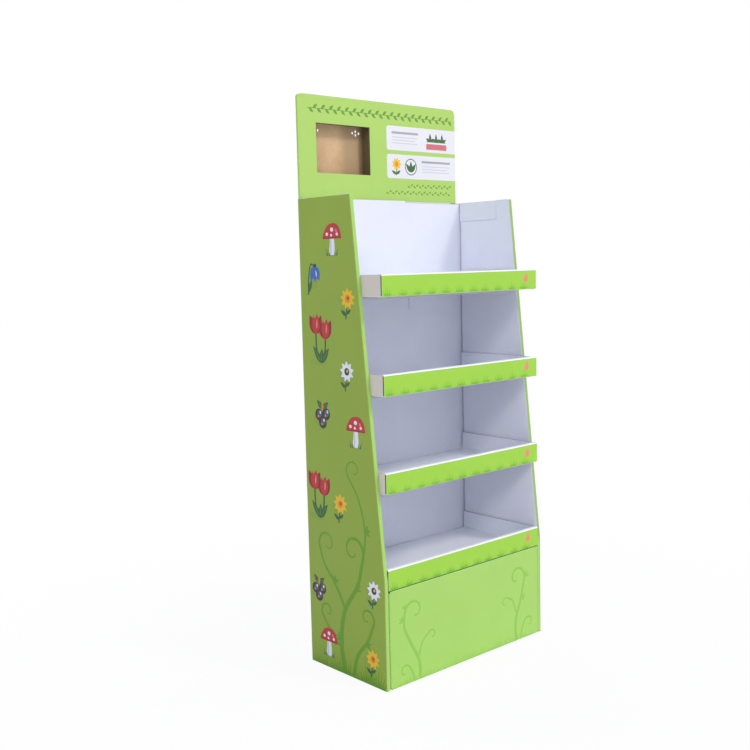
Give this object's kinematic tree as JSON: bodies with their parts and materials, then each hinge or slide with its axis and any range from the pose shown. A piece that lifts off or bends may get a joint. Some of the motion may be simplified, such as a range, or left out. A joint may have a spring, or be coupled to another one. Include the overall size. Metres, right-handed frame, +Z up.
{
  "type": "cardboard display stand",
  "caption": "Free-standing shop display of folded corrugated board: lipped shelf trays between leaning double-wall sides, with a header card that has a screen window.",
  "frame": {"origin": "middle of the whole footprint on the floor, screen box included", "axes": "+Z up, -Y towards the front, +X to the right of someone facing the shelves"},
  "size_m": [0.6, 0.328, 1.5],
  "materials": {
    "printed_board": "printed satin",
    "tray_board": "coated white, printed lip",
    "white_board": "coated white",
    "brown_board": "unbleached"
  },
  "bodies": {
    "root": {"left_side_panel": "printed_board", "right_side_panel": "printed_board", "back_panel": "white_board", "header_card": "printed_board", "screen_box": "brown_board", "base_front_panel": "printed_board", "base_divider_long": "brown_board", "base_divider_left": "brown_board", "base_divider_right": "brown_board", "shelf_tray_1": "tray_board", "shelf_tray_2": "tray_board", "shelf_support_2": "white_board", "shelf_tray_3": "tray_board", "shelf_support_3": "white_board", "shelf_tray_4": "tray_board", "shelf_support_4": "white_board"}
  },
  "joints": []
}
